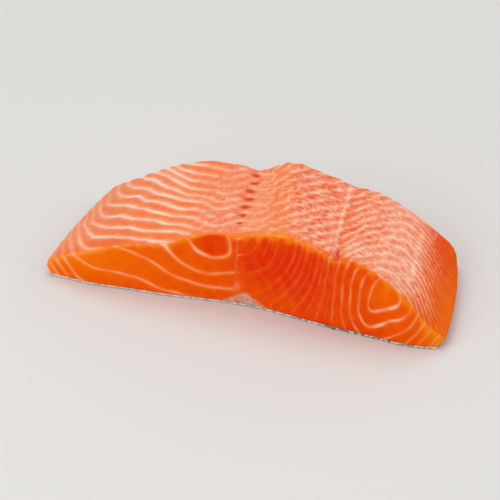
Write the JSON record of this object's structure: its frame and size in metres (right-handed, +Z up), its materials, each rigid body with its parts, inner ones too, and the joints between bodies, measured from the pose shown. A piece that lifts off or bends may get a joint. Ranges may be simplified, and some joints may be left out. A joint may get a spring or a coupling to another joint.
{
  "type": "raw salmon fillet",
  "caption": "Thick cross-cut portion of raw salmon fillet lying skin side down, tapering from a deep dorsal side to a thin belly edge, with flaky relief and cone-shaped muscle layers.",
  "frame": {"origin": "centre of the footprint, on the surface that the skin rests on", "axes": "+Z up; +X from the thin belly edge towards the thick dorsal edge; +Y along the fish, from the larger front cut to the back cut"},
  "size_m": [0.1728, 0.0658, 0.0379],
  "materials": {
    "flesh": "moist raw salmon flesh, orange with thin pale fat lines",
    "dark_muscle": "moist grey-brown dark muscle",
    "skin": "moist silvery scaled skin"
  },
  "bodies": {
    "root": {"flesh": "flesh", "dark_muscle": "dark_muscle", "skin": "skin"}
  },
  "joints": []
}
